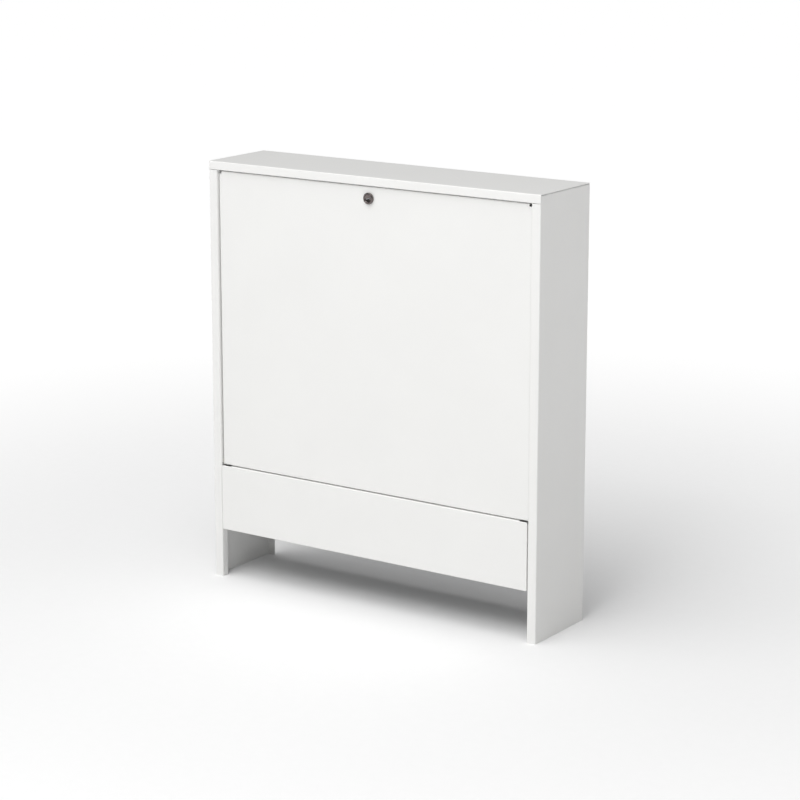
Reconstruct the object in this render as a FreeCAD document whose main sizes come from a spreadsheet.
"""Underfloor heating manifold in its surface-mounted sheet-steel cabinet.

Frame: +X to the right, +Y towards the wall, +Z up. The origin is on the floor, at the middle of the
cabinet's width and depth. Sizes are in millimetres.
"""

import FreeCAD, Part

import os
import re

import Sketcher
from FreeCAD import Placement, Rotation, Vector

# Driving dimensions. Each becomes a named cell of the spreadsheet "sizes".
SIZES = {
    # cabinet carcass
    "cab_width": 650.0,
    "cab_depth": 150.0,
    "cab_height": 725.0,
    "plate": 1.2,
    "bend": 2.0,
    "seam": 0.4,
    "cover_seam": 0.9,
    "nose_width": 16.5,
    "nose_depth": 15.0,
    "nose_hem": 8.0,
    "rear_flange": 15.0,
    "lip_height": 14.4,
    "lip_hem": 9.0,
    "back_bottom": 110.0,
    "wall_hole_x": 250.0,
    "wall_hole_low": 160.0,
    "wall_hole_high": 650.0,
    "wall_hole_radius": 4.5,
    # door
    "door_recess": 4.5,
    "door_side_gap": 1.6,
    "door_top_gap": 1.8,
    "door_bottom": 200.6,
    "door_depth": 14.0,
    "door_hem": 10.0,
    "relief_wide": 5.0,
    "relief_high": 4.5,
    "stiffener_low": 432.0,
    "stiffener_high": 478.0,
    "stiffener_depth": 9.0,
    "stiffener_half": 288.0,
    "pivot_back": 4.5,
    "pivot_up": 5.4,
    "pivot_radius": 2.0,
    "pivot_play": 0.06,
    "bush_radius": 3.4,
    "buffer_x": 240.0,
    "buffer_radius": 5.0,
    "buffer_thick": 1.7,
    # door lock
    "lock_z": 689.7,
    "lock_rosette": 9.4,
    "lock_proud": 4.2,
    "lock_radius": 8.0,
    "plug_radius": 6.8,
    "coin_slot_half": 5.2,
    "cam_length": 21.0,
    "cam_width": 12.0,
    "cam_thick": 2.0,
    # lower front panel, cross rails and pipe guide
    "skirt_recess": 1.0,
    "skirt_left": 308.0,
    "skirt_right": 306.5,
    "skirt_bottom": 85.3,
    "skirt_top": 199.0,
    "skirt_return": 13.0,
    "skirt_shelf": 29.0,
    "shelf_half": 290.0,
    "cross_low": 150.0,
    "cross_front": 59.5,
    "cross_back": 40.0,
    "strike_front": 54.5,
    "strike_low": 701.0,
    "strike_shelf": 14.0,
    "guide_radius": 12.5,
    "guide_wall": 1.5,
    "guide_y": 30.0,
    "guide_z": 118.0,
    # mounting rails and brackets
    "rail_half": 300.0,
    "rail_high": 28.0,
    "rail_deep": 14.0,
    "rail_wall": 1.5,
    "rail_mouth": 14.0,
    "rail_low_z": 275.0,
    "rail_top_z": 595.0,
    "bracket_plate": 2.5,
    "bracket_wide": 30.0,
    "bracket_left_x": 90.0,
    "bracket_right_x": 140.0,
    "bracket_rise": 65.0,
    "bar_step": 32.0,
    # manifold bars
    "bar_side": 36.0,
    "bar_wall": 1.5,
    "bar_corner": 6.0,
    "bar_left": 110.0,
    "bar_right": 160.0,
    "supply_z": 540.0,
    "return_z": 330.0,
    "liner": 2.0,
    "strap": 1.5,
    "strap_wide": 24.0,
    "strap_foot": 11.0,
    "boss_radius": 16.6,
    "boss_bore": 12.5,
    "boss_length": 14.0,
    "collar_radius": 14.0,
    "collar_high": 2.0,
    "port_radius": 9.9,
    "loop_x": 50.0,
    "loop_pitch": 50.0,
    "hex_flats": 27.0,
    "hex_high": 8.0,
    "loop_thread": 13.2,
    "loop_thread_length": 12.0,
    # flow meters and valve caps
    "meter_neck": 8.5,
    "sleeve_gap": 0.4,
    "sleeve_radius": 15.5,
    "sleeve_high": 18.0,
    "glass_radius": 8.0,
    "glass_high": 44.0,
    "float_radius": 5.2,
    "insert_ring": 14.9,
    "cap_radius": 19.0,
    "cap_high": 37.0,
    # ball valves and end pieces
    "valve_length": 70.0,
    "valve_flats": 40.0,
    "valve_thread": 15.15,
    "valve_thread_length": 18.0,
    "ball_radius": 16.5,
    "chamber_radius": 18.0,
    "stem_radius": 4.8,
    "stem_gap": 0.25,
    "gasket": 2.0,
    "nut_flats": 41.0,
    "end_grip": 15.5,
    "end_reach": 32.0,
    "drain_thread": 13.2,
}

LOOPS = 4

document = FreeCAD.newDocument("manifold_cabinet")
sheet = document.addObject("Spreadsheet::Sheet", "sizes")
for row, (alias, number) in enumerate(SIZES.items(), start=1):
    sheet.set(f"A{row}", alias)
    sheet.set(f"B{row}", str(number))
    sheet.setAlias(f"B{row}", alias)
document.recompute()

AXES = "xyz"
TURNS = {
    "z": Rotation(),
    "-z": Rotation(Vector(1, 0, 0), 180),
    "x": Rotation(Vector(0, 1, 0), 90),
    "-x": Rotation(Vector(0, 1, 0), -90),
    "y": Rotation(Vector(1, 0, 0), -90),
    "-y": Rotation(Vector(1, 0, 0), 90),
}
nodes = {}


# ---- helpers ------------------------------------------------------------------------------------


def formula(text):
    """The text with each size's name pointing at its spreadsheet cell."""
    return re.sub(r"[a-z][a-z0-9_]*", lambda m: f"sizes.{m[0]}" if m[0] in SIZES else m[0], str(text))


def number(text):
    """The value of a formula now."""
    return float(sheet.evalExpression(formula(text)))


def place(item, at, turn="z"):
    """Puts item's own origin at a point of three formulas, with its Z axis turned to an axis of the frame."""
    item.Placement = Placement(Vector(0, 0, 0), TURNS[turn])
    for axis, text in zip(AXES, at):
        item.setExpression(f"Placement.Base.{axis}", formula(text))
    return item


def unique(name):
    """A document name that nothing else has yet."""
    found, count = name, 2
    while document.getObject(found):
        found = f"{name}_{count}"
        count += 1
    return found


def box(name, x, y, z):
    """A Part::Box between three (low, high) pairs of formulas."""
    item = document.addObject("Part::Box", unique(name))
    for side, (low, high) in zip(("Length", "Width", "Height"), (x, y, z)):
        item.setExpression(side, formula(f"({high}) - ({low})"))
    return place(item, (x[0], y[0], z[0]))


def rod(name, turn, radius, length, at):
    """A Part::Cylinder that starts at a point and runs along an axis."""
    item = document.addObject("Part::Cylinder", unique(name))
    item.setExpression("Radius", formula(radius))
    item.setExpression("Height", formula(length))
    return place(item, at, turn)


def hexagon(name, turn, flats, length, at):
    """A six-sided bar, its size given across flats."""
    item = document.addObject("Part::Prism", unique(name))
    item.Polygon = 6
    item.setExpression("Circumradius", formula(f"({flats}) / 2 / cos(30)"))
    item.setExpression("Height", formula(length))
    return place(item, at, turn)


def fused(name, *parts):
    """The parts joined into one solid."""
    item = document.addObject("Part::MultiFuse", unique(name))
    item.Shapes = list(parts)
    item.Refine = True
    return item


def cut(name, base, *tools):
    """The base with the tools taken away."""
    item = document.addObject("Part::Cut", unique(name))
    item.Base = base
    item.Tool = tools[0] if len(tools) == 1 else fused(f"{name}_tools", *tools)
    item.Refine = True
    return item


def common(name, first, second):
    """What two solids share."""
    item = document.addObject("Part::Common", unique(name))
    item.Base = first
    item.Tool = second
    return item


def outline_sketch(body, name, plane, points):
    """A closed, fully constrained outline. Each corner's two coordinates are bound to formulas."""
    planes = {feature.Role: feature for feature in body.Origin.OriginFeatures}
    sketch = body.newObject("Sketcher::SketchObject", unique(name))
    sketch.AttachmentSupport = [(planes[plane], "")]
    sketch.MapMode = "FlatFace"
    corners = [Vector(number(a), number(b), 0) for a, b in points]
    for start, end in zip(corners, corners[1:] + corners[:1]):
        sketch.addGeometry(Part.LineSegment(start, end))
    for index in range(len(corners)):
        sketch.addConstraint(Sketcher.Constraint("Coincident", index, 2, (index + 1) % len(corners), 1))
    for index, (corner, pair) in enumerate(zip(corners, points)):
        for kind, value, text in zip(("DistanceX", "DistanceY"), corner, pair):
            added = sketch.addConstraint(Sketcher.Constraint(kind, -1, 1, index, 1, value))
            sketch.setExpression(f"Constraints[{added}]", formula(text))
    return sketch


def turned(name, turn, outline, at=("0", "0", "0")):
    """A PartDesign revolution. The outline is (distance along the axis, radius) pairs."""
    body = document.addObject("PartDesign::Body", unique(name))
    sketch = outline_sketch(
        body, f"{name}_outline", "XZ_Plane", [(radius, along) for along, radius in outline]
    )
    spin = body.newObject("PartDesign::Revolution", unique(f"{name}_spin"))
    spin.Profile = sketch
    spin.ReferenceAxis = (sketch, ["V_Axis"])
    spin.Angle = 360.0
    return place(body, at, turn)


def padded_profile(name, plane, outline, length, at=("0", "0", "0")):
    """A PartDesign pad of an outline, centred on its plane."""
    body = document.addObject("PartDesign::Body", unique(name))
    sketch = outline_sketch(body, f"{name}_outline", plane, outline)
    pad = body.newObject("PartDesign::Pad", unique(f"{name}_pad"))
    pad.Profile = sketch
    pad.SideType = "Symmetric"
    pad.setExpression("Length", formula(length))
    return place(body, at)


def slab(body, name, x, y, z, kind="Additive"):
    """A box feature of a body, between three (low, high) pairs of formulas."""
    item = body.newObject(f"PartDesign::{kind}Box", unique(name))
    for side, (low, high) in zip(("Length", "Width", "Height"), (x, y, z)):
        item.setExpression(side, formula(f"({high}) - ({low})"))
    return place(item, (x[0], y[0], z[0]))


def drilled(body, name, turn, radius, length, at):
    """A round hole in a body, from a point along an axis."""
    item = body.newObject("PartDesign::SubtractiveCylinder", unique(name))
    item.setExpression("Radius", formula(radius))
    item.setExpression("Height", formula(length))
    return place(item, at, turn)


def rounded(body, name, radius, edges):
    """Rounds a body's straight edges. Each edge is (axis it runs along, first, second other coordinate)."""
    document.recompute()
    base = body.Tip
    wanted = [(AXES.index(axis), number(a), number(b)) for axis, a, b in edges]
    names = []
    for index, edge in enumerate(base.Shape.Edges, start=1):
        if edge.Curve.TypeId != "Part::GeomLine":
            continue
        start, end = edge.Vertexes[0].Point, edge.Vertexes[-1].Point
        for axis, a, b in wanted:
            others = [k for k in range(3) if k != axis]
            on_line = all(
                abs(point[k] - value) < 0.01 for point in (start, end) for k, value in zip(others, (a, b))
            )
            if on_line:
                names.append(f"Edge{index}")
    if not names:
        raise RuntimeError(f"{name} finds no edge to round")
    fillet = body.newObject("PartDesign::Fillet", unique(name))
    fillet.Base = (base, names)
    fillet.setExpression("Radius", formula(radius))
    return fillet


def group(name, parts):
    """Separate solids of one kind in one node."""
    item = document.addObject("Part::Compound", unique(name))
    item.Links = list(parts)
    return node(name, item)


def node(name, item):
    """Names the finished sub-part."""
    item.Label = name
    nodes[name] = item
    return item


def new_body(name):
    """An empty PartDesign body."""
    return document.addObject("PartDesign::Body", unique(name))


def nut(name, turn, flats, length, bore, at):
    """A hexagon nut with its corners chamfered at both ends."""
    bar = hexagon(f"{name}_bar", turn, flats, length, at)
    corner = f"({flats}) / 2 / cos(30)"
    drop = f"({flats}) * 0.045"
    rim = [("0", "0"), ("0", f"({flats}) / 2"), (drop, corner), (f"({length}) - {drop}", corner)]
    rim += [(length, f"({flats}) / 2"), (length, "0")]
    blank = common(f"{name}_blank", bar, turned(f"{name}_rim", turn, rim, at))
    return cut(name, blank, rod(f"{name}_bore", turn, bore, length, at)) if bore else blank


def pan_screw(name, turn, at, length):
    """A pan-head screw. The point is where its head meets the plate, and it enters along the axis."""
    head = [("-2.4", "0"), ("-2.4", "2.4"), ("-1.6", "3.6"), ("0", "4"), ("0", "1.9")]
    head += [(f"{length} - 0.5", "1.9"), (length, "1.4"), (length, "0")]
    body = turned(name, turn, head, at)
    cross = [
        box(f"{name}_slot", pair_x, pair_y, ("-2.6", "-1.2"))
        for pair_x, pair_y in ((("-2", "2"), ("-0.4", "0.4")), (("-0.4", "0.4"), ("-2", "2")))
    ]
    recess = fused(f"{name}_recess", *cross)
    place(recess, at, turn)
    return cut(f"{name}_cut", body, recess)


# ---- cabinet carcass ----------------------------------------------------------------------------

HALF_WIDTH = "cab_width / 2"
HALF_DEPTH = "cab_depth / 2"
SKIN = "cab_width / 2 - plate"
LIP_BOTTOM = "cab_height - lip_height"
COVER_UNDER = "cab_height - plate"
BACK_FACE = "cab_depth / 2 - plate - seam"
BACK_INNER = "cab_depth / 2 - 2 * plate - seam"


def side_panel(name, side):
    """A side: outer skin, closed front nose and rear flange, folded from one plate. side is -1 or 1."""
    edge = [
        ("0", HALF_DEPTH),
        ("0", f"-{HALF_DEPTH}"),
        ("nose_width", f"-{HALF_DEPTH}"),
        ("nose_width", f"nose_depth - {HALF_DEPTH}"),
        ("nose_width - nose_hem", f"nose_depth - {HALF_DEPTH}"),
        ("nose_width - nose_hem", f"nose_depth - plate - {HALF_DEPTH}"),
        ("nose_width - plate", f"nose_depth - plate - {HALF_DEPTH}"),
        ("nose_width - plate", f"plate - {HALF_DEPTH}"),
        ("plate", f"plate - {HALF_DEPTH}"),
        ("plate", f"{HALF_DEPTH} - plate"),
        ("rear_flange", f"{HALF_DEPTH} - plate"),
        ("rear_flange", HALF_DEPTH),
    ]
    outline = [(f"{side} * ({HALF_WIDTH} - ({inset}))", y) for inset, y in edge]
    body = new_body(name)
    sketch = outline_sketch(body, f"{name}_outline", "XY_Plane", outline)
    pad = body.newObject("PartDesign::Pad", f"{name}_pad")
    pad.Profile = sketch
    pad.setExpression("Length", formula(f"{COVER_UNDER} - cover_seam"))
    rounded(body, f"{name}_bends", "bend", [("z", *outline[k]) for k in (0, 1, 2, 3)])
    rounded(body, f"{name}_inner_bends", "bend - plate", [("z", *outline[k]) for k in (6, 7, 8, 9)])
    top = (f"{LIP_BOTTOM} - seam", "cab_height + 5")
    spans = {
        "nose": ("plate + 0.01", "nose_width + 1", "-1", "nose_depth + 1"),
        "edge": ("-1", "nose_width + 1", "-1", "plate + seam"),
    }
    for part, (inner, outer, front, back) in spans.items():
        ends = sorted(
            (f"{side} * ({HALF_WIDTH} - ({inner}))", f"{side} * ({HALF_WIDTH} - ({outer}))"), key=number
        )
        depth = (f"{front} - {HALF_DEPTH}", f"{back} - {HALF_DEPTH}")
        slab(body, f"{name}_{part}_notch", ends, depth, top, "Subtractive")
    x = f"{side} * ({HALF_WIDTH} - nose_width)"
    turn = "x" if side > 0 else "-x"
    at = (f"{x} - ({side}) * 2", PIVOT_Y, PIVOT_Z)
    drilled(body, f"{name}_pivot_hole", turn, "bush_radius", "6", at)
    for index, z in enumerate(SIDE_SCREW_HEIGHTS):
        hole_at = (f"{side} * ({HALF_WIDTH} - rear_flange / 2)", "cab_depth / 2 - 5", z)
        drilled(body, f"{name}_screw_hole{index}", "y", "1.9", "10", hole_at)
    return node(name, body)


def top_cover():
    """The cover: top plate, front lip with its hem, rear and side flanges."""
    body = new_body("top_cover")
    inside = "cab_width / 2 - plate - seam - 0.2"
    slab(
        body, "cover_top", (f"-{HALF_WIDTH}", HALF_WIDTH), (f"-{HALF_DEPTH}", HALF_DEPTH),
        (COVER_UNDER, "cab_height"),
    )
    lip = (f"-{HALF_DEPTH}", f"plate - {HALF_DEPTH}")
    slab(body, "cover_lip", (f"-{HALF_WIDTH}", HALF_WIDTH), lip, (LIP_BOTTOM, "cab_height"))
    hem = (f"-{HALF_DEPTH}", f"lip_hem - {HALF_DEPTH}")
    slab(body, "cover_hem", (f"-({inside})", inside), hem, (LIP_BOTTOM, f"{LIP_BOTTOM} + plate"))
    rear = (f"{HALF_DEPTH} - plate", HALF_DEPTH)
    reach = "cab_width / 2 - rear_flange - 0.5"
    slab(body, "cover_rear", (f"-({reach})", reach), rear, ("cab_height - 22", "cab_height"))
    for side, span in (
        ("left", (f"-({inside})", f"plate - ({inside})")), ("right", (f"{inside} - plate", inside))
    ):
        slab(body, f"cover_{side}_flange", span, ("-36", "68"), ("cab_height - 16", "cab_height"))
    front = f"-{HALF_DEPTH}"
    rounded(body, "cover_front_bend", "bend", [("x", front, "cab_height")])
    rounded(body, "cover_lip_bend", "bend - 0.6", [("x", front, LIP_BOTTOM)])
    for index, x in enumerate(COVER_SCREWS):
        drilled(body, f"cover_hole{index}", "y", "1.9", "10", (x, "cab_depth / 2 - 5", COVER_SCREW_Z))
    return node("top_cover", body)


def back_panel():
    """The back: a plate with a stiffening flange along its bottom and four holes for the wall screws."""
    body = new_body("back_panel")
    reach = "cab_width / 2 - plate - 1"
    wide = (f"-({reach})", reach)
    slab(body, "back_plate", wide, (BACK_INNER, BACK_FACE), ("back_bottom", "cab_height - 3"))
    slab(
        body, "back_flange", wide, (f"{BACK_FACE} - 12", BACK_FACE), ("back_bottom", "back_bottom + plate")
    )
    rounded(body, "back_bend", "bend", [("x", BACK_FACE, "back_bottom")])
    for row_name, z in (("low", "wall_hole_low"), ("high", "wall_hole_high")):
        for side in (-1, 1):
            at = (f"{side} * wall_hole_x", "cab_depth / 2 - 10", z)
            drilled(body, f"wall_hole_{row_name}", "y", "wall_hole_radius", "15", at)
    for x, z in case_screw_places():
        drilled(body, "back_screw_hole", "y", "1.9", "15", (x, "cab_depth / 2 - 10", z))
    return node("back_panel", body)


SIDE_SCREW_HEIGHTS = ("135", "400", "680")
COVER_SCREWS = ("-150", "150")
COVER_SCREW_Z = "cab_height - 14"
SHELF_SCREWS = ("-200", "200")
SHELF_SCREW_Y = "-50"


def case_screw_places():
    """Where the screws go through the back panel, as (x, z) formulas."""
    sides = [
        (f"{side} * ({HALF_WIDTH} - rear_flange / 2)", z) for side in (-1, 1) for z in SIDE_SCREW_HEIGHTS
    ]
    return sides + [(x, COVER_SCREW_Z) for x in COVER_SCREWS]


def case_screws():
    """Ten alike: eight hold the sides and the cover to the back, two hold the lower front panel."""
    through_back = "2 * plate + seam - 0.1"
    screws = [
        pan_screw("case_screw", "y", (x, BACK_INNER, z), through_back) for x, z in case_screw_places()
    ]
    screws += [pan_screw("case_screw", "-z", (x, SHELF_SCREW_Y, "skirt_top"), "6.5") for x in SHELF_SCREWS]
    return group("case_screws", screws)


def lower_cross_rail():
    """The channel that ties the sides together behind the lower front panel."""
    body = new_body("lower_cross_rail")
    wide = (f"0.3 - ({SKIN})", f"{SKIN} - 0.3")
    top = "skirt_top - plate - 0.3"
    slab(body, "cross_web", wide, ("-cross_back - plate", "-cross_back"), ("cross_low", top))
    slab(body, "cross_shelf", wide, ("-cross_front", "-cross_back"), (f"{top} - plate", top))
    slab(body, "cross_foot", wide, ("-cross_front", "-cross_back"), ("cross_low", "cross_low + plate"))
    rounded(body, "cross_bends", "bend", [("x", "-cross_back", top), ("x", "-cross_back", "cross_low")])
    for x in SHELF_SCREWS:
        drilled(body, "cross_hole", "z", "1.9", "10", (x, SHELF_SCREW_Y, "skirt_top - 6"))
    return node("lower_cross_rail", body)


def upper_cross_rail():
    """The angle behind the door's top edge, which the lock's cam turns behind."""
    body = new_body("upper_cross_rail")
    wide = (f"0.3 - ({SKIN})", f"{SKIN} - 0.3")
    slab(body, "strike_web", wide, ("-strike_front", "plate - strike_front"), ("strike_low", COVER_UNDER))
    shelf = ("-strike_front", "strike_shelf - strike_front")
    slab(body, "strike_top", wide, shelf, (f"{COVER_UNDER} - plate", COVER_UNDER))
    rounded(body, "strike_bend", "bend - 0.4", [("x", "-strike_front", COVER_UNDER)])
    return node("upper_cross_rail", body)


def lower_front_panel():
    """The panel below the door: front plate, top shelf with open ends, side and bottom returns."""
    body = new_body("lower_front_panel")
    front, left, right = f"skirt_recess - {HALF_DEPTH}", "-skirt_left", "skirt_right"
    inner = f"({front}) + plate"
    slab(body, "skirt_plate", (left, right), (front, inner), ("skirt_bottom", "skirt_top"))
    shelf = (front, f"({front}) + skirt_shelf")
    slab(body, "skirt_shelf", ("-shelf_half", "shelf_half"), shelf, ("skirt_top - plate", "skirt_top"))
    back = (front, f"({front}) + skirt_return")
    slab(
        body, "skirt_foot", (f"{left} + 3", f"{right} - 3"), back, ("skirt_bottom", "skirt_bottom + plate")
    )
    tall = ("skirt_bottom + 3", "skirt_top - 4")
    slab(body, "skirt_left_return", (left, f"{left} + plate"), back, tall)
    slab(body, "skirt_right_return", (f"{right} - plate", right), back, tall)
    rounded(body, "skirt_bends", "plate - 0.1", [("x", front, "skirt_top"), ("x", front, "skirt_bottom")])
    for x in SHELF_SCREWS:
        drilled(body, "skirt_hole", "z", "1.9", "10", (x, SHELF_SCREW_Y, "skirt_top - 6"))
    return node("lower_front_panel", body)


def pipe_guide_tube():
    """The round tube between the sides that the heating pipes bend round."""
    start = (f"-({SKIN})", "-guide_y", "guide_z")
    outer = rod("guide_outer", "x", "guide_radius", f"2 * ({SKIN})", start)
    bore = rod("guide_bore", "x", "guide_radius - guide_wall", f"2 * ({SKIN})", start)
    return node("pipe_guide_tube", cut("pipe_guide_tube", outer, bore))


def mounting_rails():
    """Two C rails across the back, open to the front."""
    half, mouth = "rail_high / 2", "rail_mouth / 2"
    outline = [("0", f"-{half}"), ("0", half), ("-rail_deep", half), ("-rail_deep", mouth)]
    outline += [("rail_wall - rail_deep", mouth), ("rail_wall - rail_deep", f"{half} - rail_wall")]
    outline += [("-rail_wall", f"{half} - rail_wall"), ("-rail_wall", f"rail_wall - {half}")]
    outline += [("rail_wall - rail_deep", f"rail_wall - {half}"), ("rail_wall - rail_deep", f"-{mouth}")]
    outline += [("-rail_deep", f"-{mouth}"), ("-rail_deep", f"-{half}")]
    rails = [
        padded_profile(f"rail_{name}", "YZ_Plane", outline, "2 * rail_half", ("0", BACK_INNER, z))
        for name, z in (("low", "rail_low_z"), ("top", "rail_top_z"))
    ]
    return group("mounting_rails", rails)


# ---- door ---------------------------------------------------------------------------------------

DOOR_FRONT = "door_recess - cab_depth / 2"
DOOR_BACK = "door_recess - cab_depth / 2 + door_depth"
DOOR_HALF = "cab_width / 2 - nose_width - door_side_gap"
DOOR_TOP = "cab_height - lip_height - door_top_gap"
PIVOT_Y = "door_recess - cab_depth / 2 + pivot_back"
PIVOT_Z = "door_bottom + pivot_up"


def door_panel():
    """The door: a pan with four flanges, hems along their back edges, and open upper corners."""
    body = new_body("door_panel")
    wide, high = (f"-({DOOR_HALF})", DOOR_HALF), ("door_bottom", DOOR_TOP)
    deep = (DOOR_FRONT, DOOR_BACK)
    back = (f"{DOOR_BACK} - plate", DOOR_BACK)
    slab(body, "door_plate", wide, (DOOR_FRONT, f"{DOOR_FRONT} + plate"), high)
    slab(body, "door_top_flange", wide, deep, (f"{DOOR_TOP} - plate", DOOR_TOP))
    slab(body, "door_low_flange", wide, deep, ("door_bottom", "door_bottom + plate"))
    slab(body, "door_left_flange", (wide[0], f"{wide[0]} + plate"), deep, high)
    slab(body, "door_right_flange", (f"{DOOR_HALF} - plate", DOOR_HALF), deep, high)
    slab(body, "door_top_hem", wide, back, (f"{DOOR_TOP} - door_hem", DOOR_TOP))
    slab(body, "door_low_hem", wide, back, ("door_bottom", "door_bottom + door_hem"))
    slab(body, "door_left_hem", (wide[0], f"{wide[0]} + door_hem"), back, high)
    slab(body, "door_right_hem", (f"{DOOR_HALF} - door_hem", DOOR_HALF), back, high)
    bends = [("x", DOOR_FRONT, "door_bottom"), ("x", DOOR_FRONT, DOOR_TOP)]
    bends += [("z", wide[0], DOOR_FRONT), ("z", DOOR_HALF, DOOR_FRONT)]
    rounded(body, "door_bends", "bend - 0.4", bends)
    relief = (f"{DOOR_TOP} - relief_high", f"{DOOR_TOP} + 1")
    through = (f"{DOOR_FRONT} - 1", f"{DOOR_BACK} - plate - 1")
    corner = f"{DOOR_HALF} - relief_wide"
    slab(body, "door_left_relief", (f"-({DOOR_HALF}) - 1", f"-({corner})"), through, relief, "Subtractive")
    slab(body, "door_right_relief", (corner, f"{DOOR_HALF} + 1"), through, relief, "Subtractive")
    drilled(body, "door_lock_hole", "y", "lock_radius", "5", ("0", f"{DOOR_FRONT} - 1", "lock_z"))
    for side, turn in ((-1, "-x"), (1, "x")):
        at = (f"{side} * ({DOOR_HALF} - 5)", PIVOT_Y, PIVOT_Z)
        drilled(body, "door_pivot_hole", turn, "pivot_radius", "10", at)
    return node("door_panel", body)


def door_stiffener():
    """A hat section spot-welded across the back of the door plate."""
    low, high, foot, base = "stiffener_low", "stiffener_high", "12", f"{DOOR_FRONT} + plate"
    rise = "stiffener_depth"
    outline = [("0", f"{low} - {foot}"), ("plate", f"{low} - {foot}"), ("plate", f"{low} - plate")]
    outline += [(rise, f"{low} - plate"), (rise, f"{high} + plate"), ("plate", f"{high} + plate")]
    outline += [("plate", f"{high} + {foot}"), ("0", f"{high} + {foot}"), ("0", high)]
    outline += [(f"{rise} - plate", high), (f"{rise} - plate", low), ("0", low)]
    body = padded_profile("door_stiffener", "YZ_Plane", outline, "2 * stiffener_half", ("0", base, "0"))
    return node("door_stiffener", body)


def door_pivot_pins():
    """A headed pin through each side flange of the door."""
    outline = [("-1.6", "0"), ("-1.6", "2.4"), ("-1", "3"), ("0", "3"), ("0", "pivot_radius")]
    outline += [("7.3", "pivot_radius"), ("8", "pivot_radius - 0.7"), ("8", "0")]
    pins = [
        turned("door_pivot_pin", turn, outline, (f"{side} * ({DOOR_HALF} - plate)", PIVOT_Y, PIVOT_Z))
        for side, turn in ((-1, "-x"), (1, "x"))
    ]
    return group("door_pivot_pins", pins)


def pivot_bushes():
    """A flanged plastic bush in each post, for the door's pins."""
    bore = "pivot_radius + pivot_play"
    outline = [
        ("-1", bore), ("-1", "4.4"), ("0", "4.4"), ("0", "bush_radius"), ("3", "bush_radius"),
        ("3", bore),
    ]
    bushes = [
        turned("pivot_bush", turn, outline, (f"{side} * ({HALF_WIDTH} - nose_width)", PIVOT_Y, PIVOT_Z))
        for side, turn in ((-1, "-x"), (1, "x"))
    ]
    return group("pivot_bushes", bushes)


def door_buffers():
    """Soft pads on the door's upper hem, which meet the upper cross rail."""
    z = f"{DOOR_TOP} - door_hem / 2"
    outline = [("0", "0"), ("0", "buffer_radius - 0.5"), ("buffer_thick - 0.6", "buffer_radius - 0.5")]
    outline += [("buffer_thick", "buffer_radius - 1.4"), ("buffer_thick", "0")]
    pads = [turned("door_buffer", "y", outline, (f"{side} * buffer_x", DOOR_BACK, z)) for side in (-1, 1)]
    return group("door_buffers", pads)


# ---- door lock ----------------------------------------------------------------------------------

CAM_FRONT = "plate - strike_front + 1.4"


def lock_housing():
    """The round shell of the lock, with a rosette in front of the door plate."""
    length = f"({CAM_FRONT}) - 0.6 - ({DOOR_FRONT})"
    bore = "plug_radius + 0.1"
    outline = [
        ("-lock_proud", bore), ("-lock_proud", "lock_rosette - 0.9"), ("0.9 - lock_proud", "lock_rosette"),
        ("0", "lock_rosette"),
    ]
    outline += [("0", "lock_radius"), (length, "lock_radius"), (length, bore)]
    return node("lock_housing", turned("lock_housing", "y", outline, ("0", DOOR_FRONT, "lock_z")))


def lock_nut():
    """The nut that clamps the lock against the door plate."""
    at = ("0", f"{DOOR_FRONT} + plate", "lock_z")
    return node("lock_nut", nut("lock_nut", "y", "21", "4", "lock_radius", at))


def lock_plug():
    """The turning plug, with a coin slot in its face and a square behind for the cam."""
    length = f"({CAM_FRONT}) - ({DOOR_FRONT})"
    outline = [
        ("0.5 - lock_proud", "0"), ("0.5 - lock_proud", "plug_radius - 0.4"),
        ("0.9 - lock_proud", "plug_radius"), (length, "plug_radius"), (length, "0"),
    ]
    blank = turned("plug_blank", "y", outline, ("0", DOOR_FRONT, "lock_z"))
    square = box(
        "plug_square", ("-3", "3"), (CAM_FRONT, f"{CAM_FRONT} + cam_thick"), ("lock_z - 3", "lock_z + 3")
    )
    stud = rod("plug_stud", "y", "2.5", "cam_thick + 4.5", ("0", CAM_FRONT, "lock_z"))
    slot_depth = (f"{DOOR_FRONT} - lock_proud", f"{DOOR_FRONT} - lock_proud + 2.6")
    wide = ("-coin_slot_half", "coin_slot_half")
    slot = box("coin_slot", wide, slot_depth, ("lock_z - 0.95", "lock_z + 0.95"))
    return node("lock_plug", cut("lock_plug", fused("plug_solid", blank, square, stud), slot))


def lock_cam():
    """The flat cam on the plug's square, pointing sideways when the lock is open, and its nut."""
    half, deep = "cam_width / 2", (CAM_FRONT, f"{CAM_FRONT} + cam_thick")
    round_end = rod("cam_round", "y", half, "cam_thick", ("0", CAM_FRONT, "lock_z"))
    tongue = box("cam_tongue", ("0", "cam_length"), deep, (f"lock_z - {half}", f"lock_z + {half}"))
    square = box("cam_square", ("-3", "3"), deep, ("lock_z - 3", "lock_z + 3"))
    plate = cut("cam_plate", fused("cam_blank", round_end, tongue), square)
    fixing = nut("cam_nut", "y", "8", "3", "2.5", ("0", f"{CAM_FRONT} + cam_thick", "lock_z"))
    return group("lock_cam", [plate, fixing])


# ---- manifold: brackets and bars ----------------------------------------------------------------

BRACKET_FACE = "cab_depth / 2 - 2 * plate - seam - rail_deep - bracket_plate"
SUPPLY_Y = f"{BRACKET_FACE} - liner - bar_side / 2"
RETURN_Y = f"{SUPPLY_Y} - bar_step"
BARS = {"supply": (SUPPLY_Y, "supply_z"), "return": (RETURN_Y, "return_z")}
LOOP_PLACES = [f"{index} * loop_pitch - loop_x" for index in range(LOOPS)]
BRACKET_PLACES = ("-bracket_left_x", "bracket_right_x")


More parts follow.
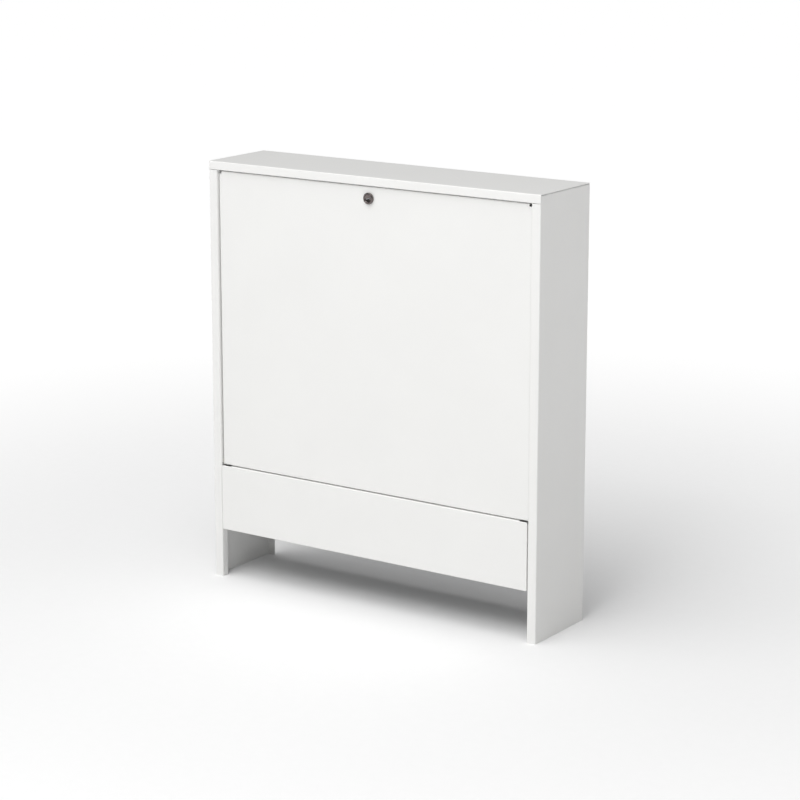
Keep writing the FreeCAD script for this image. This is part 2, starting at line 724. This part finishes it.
def bracket(name, x):
    """One cranked bracket, bolted to both rails. It holds the return bar further from the wall."""
    far, near = BRACKET_FACE, f"{BRACKET_FACE} - bar_step"
    mitre = "bracket_plate * tan(atan(bar_step / bracket_rise) / 2)"
    top, knee, low = "rail_top_z + 16", "supply_z - 35", "return_z - 40"
    outline = [(far, top), (far, knee), (near, f"{knee} - bracket_rise"), (near, low), (far, low)]
    outline += [(far, "rail_low_z - 17"), (f"{far} + bracket_plate", "rail_low_z - 17")]
    outline += [
        (f"{far} + bracket_plate", f"{low} + bracket_plate"),
        (f"{near} + bracket_plate", f"{low} + bracket_plate"),
    ]
    outline += [(f"{near} + bracket_plate", f"{knee} - bracket_rise - {mitre}")]
    outline += [(f"{far} + bracket_plate", f"{knee} - {mitre}"), (f"{far} + bracket_plate", top)]
    body = padded_profile(name, "YZ_Plane", outline, "bracket_wide", (x, "0", "0"))
    for y, z in BARS.values():
        for side in (-1, 1):
            at = ("0", f"({y}) + bar_side / 2 - 10", f"{z} + ({side}) * ({STRAP_SCREW})")
            drilled(body, f"{name}_strap_hole", "y", "2.4", "30", at)
    for z in ("rail_low_z", "rail_top_z"):
        drilled(body, f"{name}_rail_hole", "y", "3", "20", ("0", f"{BRACKET_FACE} - 5", z))
    return node(name, body)


STRAP_SCREW = "bar_side / 2 + liner + strap + strap_foot / 2"


def rail_bolts():
    """Hammer-head bolts that clamp the brackets to the rails, each with its nut and washer."""
    bolts = []
    inside = "cab_depth / 2 - 2 * plate - seam - rail_deep + rail_wall"
    for x in BRACKET_PLACES:
        for z in ("rail_low_z", "rail_top_z"):
            head = box(
                "hammer_head", (f"{x} - 8", f"{x} + 8"), (inside, f"{inside} + 3.5"),
                (f"{z} - 9", f"{z} + 9"),
            )
            shank = rod("rail_bolt_shank", "-y", "3", "17", (x, f"{inside} + 1", z))
            bolts.append(fused("rail_bolt", head, shank))
            washer = rod("rail_washer_disc", "-y", "8", "1.6", (x, BRACKET_FACE, z))
            hole = rod("rail_washer_hole", "-y", "3", "1.6", (x, BRACKET_FACE, z))
            bolts.append(cut("rail_washer", washer, hole))
            bolts.append(nut("rail_nut", "-y", "10", "5", "3", (x, f"{BRACKET_FACE} - 1.6", z)))
    return group("rail_bolts", bolts)


def square_ring(name, side, wall, corner, length, at):
    """A rounded square tube along X, centred on a point."""
    body = new_body(name)
    low, high = f"-({side}) / 2", f"({side}) / 2"
    ends = (f"-({length}) / 2", f"({length}) / 2")
    slab(body, f"{name}_block", ends, (low, high), (low, high))
    corners = [("x", a, b) for a in (low, high) for b in (low, high)]
    rounded(body, f"{name}_corners", corner, corners)
    inner_low, inner_high = f"{wall} - ({side}) / 2", f"({side}) / 2 - {wall}"
    hole_ends = (f"{ends[0]} - 1", f"{ends[1]} + 1")
    hole = new_body(f"{name}_hole")
    slab(hole, f"{name}_core", hole_ends, (inner_low, inner_high), (inner_low, inner_high))
    inner_corners = [("x", a, b) for a in (inner_low, inner_high) for b in (inner_low, inner_high)]
    rounded(hole, f"{name}_core_corners", f"{corner} - {wall}", inner_corners)
    place(body, at)
    place(hole, at)
    return cut(f"{name}_tube", body, hole)


def clamp_liners():
    """A rubber liner round each bar at each bracket."""
    rings = [
        square_ring(
            "liner", "bar_side + 2 * liner", "liner", "bar_corner + liner", "strap_wide + 2", (x, y, z)
        )
        for x in BRACKET_PLACES
        for y, z in BARS.values()
    ]
    return group("clamp_liners", rings)


def bar_clamps():
    """A steel strap over each lined bar, with two feet on the bracket."""
    straps = []
    inner, outer = "bar_side / 2 + liner", "bar_side / 2 + liner + strap"
    for x in BRACKET_PLACES:
        for y, z in BARS.values():
            band = new_body("strap")
            wide = ("-strap_wide / 2", "strap_wide / 2")
            slab(band, "strap_front", wide, (f"-({outer})", inner), (f"-({outer})", outer))
            foot = f"{outer} + strap_foot"
            slab(band, "strap_feet", wide, (f"{inner} - strap", inner), (f"-({foot})", foot))
            bends = [("x", f"-({outer})", f"-({outer})"), ("x", f"-({outer})", outer)]
            rounded(band, "strap_bends", "bar_corner + liner + strap", bends)
            for side in (-1, 1):
                at = ("0", f"{inner} - 10", f"{side} * ({STRAP_SCREW})")
                drilled(band, "strap_hole", "y", "2.4", "15", at)
            place(band, (x, y, z))
            core = new_body("strap_core")
            long_core = ("-strap_wide / 2 - 1", "strap_wide / 2 + 1")
            slab(
                core, "strap_core_block", long_core, (f"-({inner})", f"{inner} + 5"), (f"-({inner})", inner)
            )
            core_bends = [("x", f"-({inner})", f"-({inner})"), ("x", f"-({inner})", inner)]
            rounded(core, "strap_core_bends", "bar_corner + liner", core_bends)
            place(core, (x, y, z))
            straps.append(cut("bar_clamp", band, core))
    return group("bar_clamps", straps)


def clamp_screws():
    """Cylinder-head screws through the strap feet, with nuts behind the bracket."""
    screws = []
    face = "bar_side / 2 + liner"
    for x in BRACKET_PLACES:
        for y, z in BARS.values():
            for side in (-1, 1):
                height = f"{z} + ({side}) * ({STRAP_SCREW})"
                at = (x, f"{y} + {face} - strap", height)
                head = [
                    ("-4", "0"), ("-4", "3.4"), ("-3.5", "3.9"), ("0", "3.9"), ("0", "2.4"),
                    ("9", "2.4"), ("9", "0"),
                ]
                socket = hexagon("clamp_socket", "y", "4", "2.5", (x, f"{y} + {face} - strap - 4", height))
                screws.append(cut("clamp_screw", turned("clamp_screw_blank", "y", head, at), socket))
                nut_at = (x, f"{y} + {face} + bracket_plate", height)
                screws.append(nut("clamp_nut", "y", "8", "4", "2.4", nut_at))
    return group("clamp_screws", screws)


def bar(name, y, z):
    """A stainless bar: square tube, threaded boss at each end, collar above and below for each loop."""
    middle = "(bar_right - bar_left) / 2"
    tube = square_ring(name, "bar_side", "bar_wall", "bar_corner", "bar_left + bar_right", (middle, y, z))
    added = [tube]
    for side, turn, x in (("left", "-x", "-bar_left"), ("right", "x", "bar_right")):
        inset = f"{x} {'+' if side == 'left' else '-'} 3"
        outline = [
            ("0", "boss_bore"), ("0", "bar_side / 2 - bar_wall - 0.5"),
            ("3", "bar_side / 2 - bar_wall - 0.5"),
        ]
        outline += [("3", "boss_radius"), ("2 + boss_length", "boss_radius")]
        outline += [("3 + boss_length", "boss_radius - 1"), ("3 + boss_length", "boss_bore")]
        added.append(turned(f"{name}_{side}_boss", turn, outline, (inset, y, z)))
        end = (inset, x) if side == "left" else (x, inset)
        span = ("bar_side / 2 - bar_wall - 0.01", "bar_side / 2 - bar_wall - 0.01")
        lids = (f"{y} - ({span[0]})", f"{y} + {span[0]}"), (f"{z} - ({span[1]})", f"{z} + {span[1]}")
        ends = tuple(sorted(end, key=number))
        lid = box(f"{name}_{side}_lid", ends, *lids)
        hole = rod(f"{name}_{side}_lid_hole", turn, "boss_bore", "4", (f"{inset}", y, z))
        added.append(cut(f"{name}_{side}_end", lid, hole))
    for x in LOOP_PLACES:
        for turn, sign in (("z", ""), ("-z", "-")):
            start = f"{z} + ({sign}1) * (bar_side / 2 - bar_wall)"
            added.append(
                rod(f"{name}_collar", turn, "collar_radius", "bar_wall + collar_high", (x, y, start))
            )
    ports = [
        rod(f"{name}_port", "z", "port_radius", "bar_side + 20", (x, y, f"{z} - bar_side / 2 - 10"))
        for x in LOOP_PLACES
    ]
    return node(f"{name}_bar", cut(f"{name}_bar", fused(f"{name}_bar_blank", *added), *ports))


def loop_outlets():
    """The union stubs under both bars that the loop pipes screw onto, eight alike."""
    stubs = []
    for y, z in BARS.values():
        for x in LOOP_PLACES:
            at = (x, y, f"{z} - bar_side / 2 - collar_high")
            shape = nut("stub_hex", "-z", "hex_flats", "hex_high", None, at)
            tip = "hex_high + loop_thread_length"
            outline = [("-8", "0"), ("-8", "port_radius"), ("0", "port_radius"), ("0", "loop_thread")]
            outline += [(f"{tip} - 1", "loop_thread"), (tip, "loop_thread - 1"), (tip, "0")]
            barrel = turned("stub_barrel", "-z", outline, at)
            throat = [
                ("-9", "0"), ("-9", "7"), (f"{tip} - 10", "7"), (f"{tip} + 0.5", "9.5"),
                (f"{tip} + 0.5", "0"),
            ]
            stubs.append(
                cut(
                    "loop_outlet", fused("stub_solid", shape, barrel),
                    turned("stub_throat", "-z", throat, at),
                ),
            )
    return group("loop_outlets", stubs)


# ---- manifold: flow meters on the supply bar ----------------------------------------------------

METER_BASE = "supply_z + bar_side / 2 + collar_high"
NECK_TOP = "hex_high + 7 + sleeve_high + 2 * sleeve_gap"


def flow_meter_bodies():
    """The metal body of each flow meter: thread in the bar, hexagon, shoulder and neck."""
    bodies = []
    for x in LOOP_PLACES:
        at = (x, SUPPLY_Y, METER_BASE)
        shape = nut("meter_hex", "z", "hex_flats", "hex_high", None, at)
        outline = [("-10", "0"), ("-10", "port_radius"), ("0", "port_radius"), ("0", "11.5")]
        outline += [
            ("hex_high + 7", "11.5"), ("hex_high + 7", "meter_neck"), (NECK_TOP, "meter_neck"),
            (NECK_TOP, "0"),
        ]
        solid = fused("meter_solid", shape, turned("meter_barrel", "z", outline, at))
        bore = rod("meter_bore", "z", "4.5", "70", (x, SUPPLY_Y, f"{METER_BASE} - 12"))
        bodies.append(cut("flow_meter_body", solid, bore))
    return group("flow_meter_bodies", bodies)


def sight_glasses():
    """The clear tube of each meter, closed by a dome."""
    glasses = []
    outline = [
        ("0", "4.5"), ("0", "10"), ("3", "10"), ("4", "glass_radius"),
        ("glass_high - 3", "glass_radius"),
    ]
    outline += [
        ("glass_high - 0.8", "glass_radius - 1.8"), ("glass_high", "glass_radius - 4.5"),
        ("glass_high", "0"),
    ]
    outline += [
        ("glass_high - 2", "0"), ("glass_high - 2.6", "glass_radius - 3"),
        ("glass_high - 5", "glass_radius - 1.6"),
    ]
    outline += [("5", "glass_radius - 1.6"), ("3", "4.5")]
    for x in LOOP_PLACES:
        glasses.append(turned("sight_glass", "z", outline, (x, SUPPLY_Y, f"{METER_BASE} + {NECK_TOP}")))
    return group("sight_glasses", glasses)


def flow_sleeve(name, x):
    """The ring turned by hand to set a loop's flow, with finger grooves round it."""
    bore = "meter_neck + 0.35"
    outline = [
        ("0", bore), ("0", "sleeve_radius - 1"), ("1", "sleeve_radius"),
        ("sleeve_high - 5", "sleeve_radius"),
    ]
    outline += [
        ("sleeve_high - 1", "sleeve_radius - 3"), ("sleeve_high", "sleeve_radius - 4"),
        ("sleeve_high", bore),
    ]
    body = turned(name, "z", outline, (x, SUPPLY_Y, f"{METER_BASE} + hex_high + 7 + sleeve_gap"))
    document.recompute()
    groove = body.newObject("PartDesign::SubtractiveCylinder", unique(f"{name}_groove"))
    groove.setExpression("Radius", formula("1.5"))
    groove.setExpression("Height", formula("sleeve_high - 6"))
    place(groove, ("sleeve_radius + 0.6", "0", "3"))
    finger_pattern(body, groove, 18)
    return node(name, body)


def finger_pattern(body, feature, count):
    """Repeats a body's feature round its own Z axis."""
    axes = {part.Role: part for part in body.Origin.OriginFeatures}
    pattern = body.newObject("PartDesign::PolarPattern", unique(f"{body.Name}_pattern"))
    pattern.Originals = [feature]
    pattern.Axis = (axes["Z_Axis"], [""])
    pattern.Angle = 360.0
    pattern.Occurrences = count
    body.Tip = pattern


def flow_float(name, x):
    """The disc and spindle inside a meter's glass, at the top of the glass when nothing flows."""
    outline = [("0", "0"), ("0", "1"), ("38", "1"), ("38", "float_radius - 0.6"), ("38.6", "float_radius")]
    outline += [("40.4", "float_radius"), ("41", "float_radius - 0.6"), ("41", "0")]
    base = f"{METER_BASE} + {NECK_TOP} + glass_high - 3.5 - 41"
    return node(name, turned(name, "z", outline, (x, SUPPLY_Y, base)))


# ---- manifold: valves on the return bar ---------------------------------------------------------

INSERT_BASE = "return_z + bar_side / 2 + collar_high"


def valve_inserts():
    """The shut-off insert of each loop: hexagon, thread ring for the cap, and spring pin."""
    inserts = []
    for x in LOOP_PLACES:
        at = (x, RETURN_Y, INSERT_BASE)
        shape = nut("insert_hex", "z", "hex_flats", "hex_high", None, at)
        outline = [
            ("-12", "0"), ("-12", "port_radius"), ("0", "port_radius"), ("0", "12"),
            ("hex_high", "12"),
        ]
        outline += [("hex_high", "insert_ring - 0.6"), ("hex_high + 0.6", "insert_ring")]
        outline += [
            ("hex_high + 8", "insert_ring"), ("hex_high + 8.6", "insert_ring - 0.6"),
            ("hex_high + 8.6", "8"),
        ]
        outline += [
            ("hex_high + 15", "7.4"), ("hex_high + 15", "2"), ("hex_high + 20.5", "2"),
            ("hex_high + 21", "1.5"),
        ]
        outline += [("hex_high + 21", "0")]
        inserts.append(fused("valve_insert", shape, turned("insert_barrel", "z", outline, at)))
    return group("valve_inserts", inserts)


def valve_cap(name, x):
    """The ribbed hand cap over a loop's insert, turned to shut the loop."""
    gap, wall_top = "insert_ring + 0.4", "cap_high - 3"
    outline = [
        ("0", gap), ("0", "cap_radius - 0.8"), ("0.8", "cap_radius"),
        ("cap_high - 6", "cap_radius - 0.6"),
    ]
    outline += [("cap_high - 2", "cap_radius - 2.2"), ("cap_high", "cap_radius - 5"), ("cap_high", "0")]
    outline += [(wall_top, "0"), (wall_top, "cap_radius - 8"), ("12", "cap_radius - 8"), ("10", gap)]
    body = turned(name, "z", outline, (x, RETURN_Y, f"{INSERT_BASE} + hex_high + 0.4"))
    document.recompute()
    groove = body.newObject("PartDesign::SubtractiveCylinder", unique(f"{name}_groove"))
    groove.setExpression("Radius", formula("1.6"))
    groove.setExpression("Height", formula("cap_high - 9"))
    place(groove, ("cap_radius + 0.5", "0", "3"))
    finger_pattern(body, groove, 20)
    return node(name, body)


# ---- manifold: ball valves on the left ----------------------------------------------------------

TAIL_X = "-bar_left - boss_length - gasket"
VALVE_X = "-bar_left - boss_length - gasket - valve_length"
BALL_X = "-bar_left - boss_length - gasket - valve_length / 2"


def ball_valve_body(name, y, z):
    """A brass body with a female thread to the left, a union tail to the right, and a stem boss in front."""
    at = (VALVE_X, y, z)
    neck, tail = "valve_length - 10", "valve_length"
    skin = [
        ("0", "0"), ("0", "18.5"), ("16", "18.5"), ("20", "20"), ("25", "22.5"), ("45", "22.5"),
        ("50", "20"),
    ]
    skin += [
        (neck, "17.5"), (neck, "13.6"), (f"{tail} - 3.2", "13.6"), (f"{tail} - 3.2", "15.8"),
        (tail, "15.8"), (tail, "0"),
    ]
    outside = [turned(f"{name}_skin", "x", skin, at)]
    outside.append(nut(f"{name}_end_hex", "x", "valve_flats", "16", None, at))
    outside.append(
        nut(f"{name}_tail_hex", "x", "valve_flats - 3", "9", None, (f"{VALVE_X} + {neck} - 9", y, z))
    )
    outside.append(rod(f"{name}_stem_boss", "-y", "9", "28", (BALL_X, y, z)))
    inside = [("-1", "0"), ("-1", "valve_thread"), ("valve_thread_length", "valve_thread")]
    inside += [("valve_thread_length", "boss_bore"), ("20", "boss_bore"), ("20", "chamber_radius")]
    inside += [
        ("50", "chamber_radius"), ("50", "boss_bore"), (f"{tail} + 1", "boss_bore"),
        (f"{tail} + 1", "0"),
    ]
    hollow = turned(f"{name}_hollow", "x", inside, at)
    stem_hole = rod(f"{name}_stem_hole", "-y", "stem_radius + stem_gap", "40", (BALL_X, y, z))
    return node(name, cut(name, fused(f"{name}_solid", *outside), hollow, stem_hole))


def ball_and_stem(name, y, z):
    """The bored ball and the stem whose tang turns it."""
    ball = document.addObject("Part::Sphere", unique(f"{name}_sphere"))
    ball.setExpression("Radius", formula("ball_radius"))
    place(ball, (BALL_X, y, z), "x")
    bore = rod(f"{name}_bore", "x", "boss_bore - 0.5", "60", (f"{BALL_X} - 30", y, z))
    keyway = (f"{BALL_X} - 12", f"{BALL_X} + 12")
    front = (f"{y} - ball_radius - 1", f"{y} - ball_radius + 2.5")
    slot = box(f"{name}_slot", keyway, front, (f"{z} - 2", f"{z} + 2"))
    stem = rod(f"{name}_stem", "-y", "stem_radius", "18.9", (BALL_X, f"{y} - ball_radius - 0.2", z))
    tang_deep = (f"{y} - ball_radius - 0.5", f"{y} - ball_radius + 2")
    tang = box(f"{name}_tang", (f"{BALL_X} - 4", f"{BALL_X} + 4"), tang_deep, (f"{z} - 1.8", f"{z} + 1.8"))
    screw_hole = rod(f"{name}_screw_hole", "-y", "1.9", "12", (BALL_X, f"{y} - 28", z))
    spindle = cut(f"{name}_spindle", fused(f"{name}_spindle_blank", stem, tang), screw_hole)
    return group(name, [cut(f"{name}_ball", ball, bore, slot), spindle])


def ball_seats():
    """A PTFE ring each side of each ball."""
    outline = [
        ("0", "boss_bore"), ("0", "chamber_radius"), ("5", "chamber_radius"),
        ("5", "boss_bore + 1.1"),
    ]
    seats = []
    for y, z in BARS.values():
        seats.append(turned("ball_seat", "x", outline, (f"{VALVE_X} + 20", y, z)))
        seats.append(turned("ball_seat", "-x", outline, (f"{VALVE_X} + 50", y, z)))
    return group("ball_seats", seats)


def valve_handle(name, y, z):
    """A wing handle, in line with the pipe when the valve is open."""
    hub_y = f"{y} - 28.6"
    hub = [
        ("0", "stem_radius"), ("0", "8.6"), ("6", "9.5"), ("9", "9"), ("9", "2"), ("7", "2"),
        ("7", "stem_radius"),
    ]
    centre = turned(f"{name}_hub", "-y", hub, (BALL_X, hub_y, z))
    wing_deep = (f"{hub_y} - 8", f"{hub_y} - 2")
    ends, wings = [], []
    for side in (-1, 1):
        span = sorted((f"{BALL_X} + ({side}) * 7", f"{BALL_X} + ({side}) * 27"), key=number)
        wings.append(box(f"{name}_wing", tuple(span), wing_deep, (f"{z} - 4.5", f"{z} + 4.5")))
        ends.append(rod(f"{name}_tip", "-y", "6.5", "8", (f"{BALL_X} + ({side}) * 27", f"{hub_y} - 1", z)))
    return node(name, fused(name, centre, *wings, *ends))


def handle_screw(name, y, z):
    """The screw that holds a handle on its stem."""
    outline = [
        ("-7", "0"), ("-7", "1.9"), ("2", "1.9"), ("2", "4"), ("3.6", "3.6"), ("4.4", "2.4"),
        ("4.4", "0"),
    ]
    body = turned(name, "-y", outline, (BALL_X, f"{y} - 28.6 - 7", z))
    slot_deep = (f"{y} - 28.6 - 12", f"{y} - 28.6 - 10.2")
    slot = box(f"{name}_slot", (f"{BALL_X} - 5", f"{BALL_X} + 5"), slot_deep, (f"{z} - 0.5", f"{z} + 0.5"))
    return node(name, cut(name, body, slot))


def union_nuts():
    """The swivel nut that pulls each ball valve against its bar."""
    nuts = []
    length = "boss_length + gasket + 6"
    start = "-bar_left - 1.5"
    for y, z in BARS.values():
        blank = nut("union_hex", "-x", "nut_flats", length, None, (start, y, z))
        shelf = f"boss_length + gasket + 3.4 - 1.5"
        inside = [("-1", "0"), ("-1", "boss_radius + 0.1"), (shelf, "boss_radius + 0.1"), (shelf, "13.9")]
        inside += [(f"{length} + 1", "13.9"), (f"{length} + 1", "0")]
        nuts.append(cut("union_nut", blank, turned("union_inside", "-x", inside, (start, y, z))))
    return group("union_nuts", nuts)


def union_gaskets():
    """A flat ring between each bar's boss and its valve's tail."""
    outline = [("0", "boss_bore"), ("0", "15.6"), ("gasket", "15.6"), ("gasket", "boss_bore")]
    rings = [
        turned("union_gasket", "-x", outline, ("-bar_left - boss_length", y, z)) for y, z in BARS.values()
    ]
    return group("union_gaskets", rings)


# ---- manifold: end pieces on the right ----------------------------------------------------------

END_X = "bar_right + 1"
PORT_X = "bar_right + end_reach"


def end_piece(name, y, z):
    """The cap on a bar's right end, with an air vent above and a drain below."""
    at = (END_X, y, z)
    grip = nut(f"{name}_hex", "x", "nut_flats", "end_grip", None, at)
    arm_length = f"{PORT_X} - ({END_X})"
    arm = rod(f"{name}_arm", "x", "12", arm_length, at)
    post = turned(
        f"{name}_post",
        "z",
        [
            ("-26", "0"), ("-26", "10.5"), ("-16", "10.5"), ("-14", "13"), ("14", "13"),
            ("16", "10.5"), ("24", "10.5"), ("24", "0"),
        ],
        (PORT_X, y, z),
    )
    collar = nut(f"{name}_drain_hex", "-z", "24", "6", None, (PORT_X, y, f"{z} - 14"))
    thread = rod(f"{name}_thread", "x", "boss_radius + 0.1", "boss_length + 0.5", (f"{END_X} - 1", y, z))
    passage = rod(f"{name}_passage", "x", "8", arm_length, at)
    vent = rod(f"{name}_vent_bore", "z", "5.2", "40", (PORT_X, y, f"{z} - 8"))
    drain = rod(f"{name}_drain_bore", "-z", "6.5", "40", (PORT_X, y, z))
    return node(
        name, cut(name, fused(f"{name}_solid", grip, arm, post, collar), thread, passage, vent, drain)
    )


def vent_plug(name, y, z):
    """The air vent's knurled screw, which bleeds the bar when opened half a turn."""
    outline = [
        ("-12", "0"), ("-12", "4.9"), ("0.3", "4.9"), ("0.3", "7.6"), ("1", "8.2"), ("7", "8.2"),
        ("8", "7.2"), ("8", "0"),
    ]
    body = turned(name, "z", outline, (PORT_X, y, f"{z} + 24"))
    slot = box(
        f"{name}_slot", (f"{PORT_X} - 9", f"{PORT_X} + 9"), (f"{y} - 0.7", f"{y} + 0.7"),
        (f"{z} + 30.4", f"{z} + 33"),
    )
    return node(name, cut(name, body, slot))


def drain_cap(name, y, z):
    """The hose nozzle of the drain, whose ring opens the drain as it turns."""
    outline = [
        ("0.4", "11"), ("0.4", "14.2"), ("1.2", "14.9"), ("9", "14.9"), ("10", "14.2"),
        ("10", "drain_thread"),
    ]
    outline += [("21", "drain_thread"), ("22", "drain_thread - 1"), ("22", "7"), ("7", "7"), ("7", "11")]
    body = turned(name, "-z", outline, (PORT_X, y, f"{z} - 20"))
    document.recompute()
    groove = body.newObject("PartDesign::SubtractiveCylinder", unique(f"{name}_groove"))
    groove.setExpression("Radius", formula("1.4"))
    groove.setExpression("Height", formula("6"))
    place(groove, ("15.6", "0", "2.5"))
    finger_pattern(body, groove, 16)
    return node(name, body)


# ---- the whole assembly -------------------------------------------------------------------------


def build():
    """Makes every sub-part."""
    side_panel("left_side_panel", -1)
    side_panel("right_side_panel", 1)
    top_cover()
    back_panel()
    case_screws()
    lower_cross_rail()
    upper_cross_rail()
    lower_front_panel()
    pipe_guide_tube()
    mounting_rails()
    door_panel()
    door_stiffener()
    door_pivot_pins()
    pivot_bushes()
    door_buffers()
    lock_housing()
    lock_nut()
    lock_plug()
    lock_cam()
    bracket("left_bracket", BRACKET_PLACES[0])
    bracket("right_bracket", BRACKET_PLACES[1])
    rail_bolts()
    clamp_liners()
    bar_clamps()
    clamp_screws()
    loop_outlets()
    flow_meter_bodies()
    sight_glasses()
    valve_inserts()
    ball_seats()
    union_nuts()
    union_gaskets()
    for name, (y, z) in BARS.items():
        bar(name, y, z)
        ball_valve_body(f"{name}_valve_body", y, z)
        ball_and_stem(f"{name}_ball", y, z)
        valve_handle(f"{name}_handle", y, z)
        handle_screw(f"{name}_handle_screw", y, z)
        end_piece(f"{name}_end_piece", y, z)
        vent_plug(f"{name}_vent_plug", y, z)
        drain_cap(f"{name}_drain_nozzle", y, z)
    for index, x in enumerate(LOOP_PLACES, start=1):
        flow_sleeve(f"flow_sleeve_{index}", x)
        flow_float(f"flow_float_{index}", x)
        valve_cap(f"valve_cap_{index}", x)


def check_and_write():
    """Stops at the first failed object or bad shape, then writes one STEP file for each node."""
    document.recompute()
    failed = [item.Name for item in document.Objects if {"Invalid", "Error"} & set(item.State)]
    if failed:
        raise RuntimeError(f"these objects failed: {failed}")
    os.makedirs("parts", exist_ok=True)
    for old in os.listdir("parts"):
        os.remove(os.path.join("parts", old))
    for name, item in nodes.items():
        shape = item.Shape
        if shape.isNull() or not shape.isValid() or not shape.Solids:
            raise RuntimeError(f"{name} is not a valid solid")
        shape.exportStep(f"parts/{name}.step")
        print(f"{name:22s} solids {len(shape.Solids):2d}  volume {shape.Volume / 1000:9.2f} cm3")
    print(f"{len(nodes)} nodes")


build()
check_and_write()
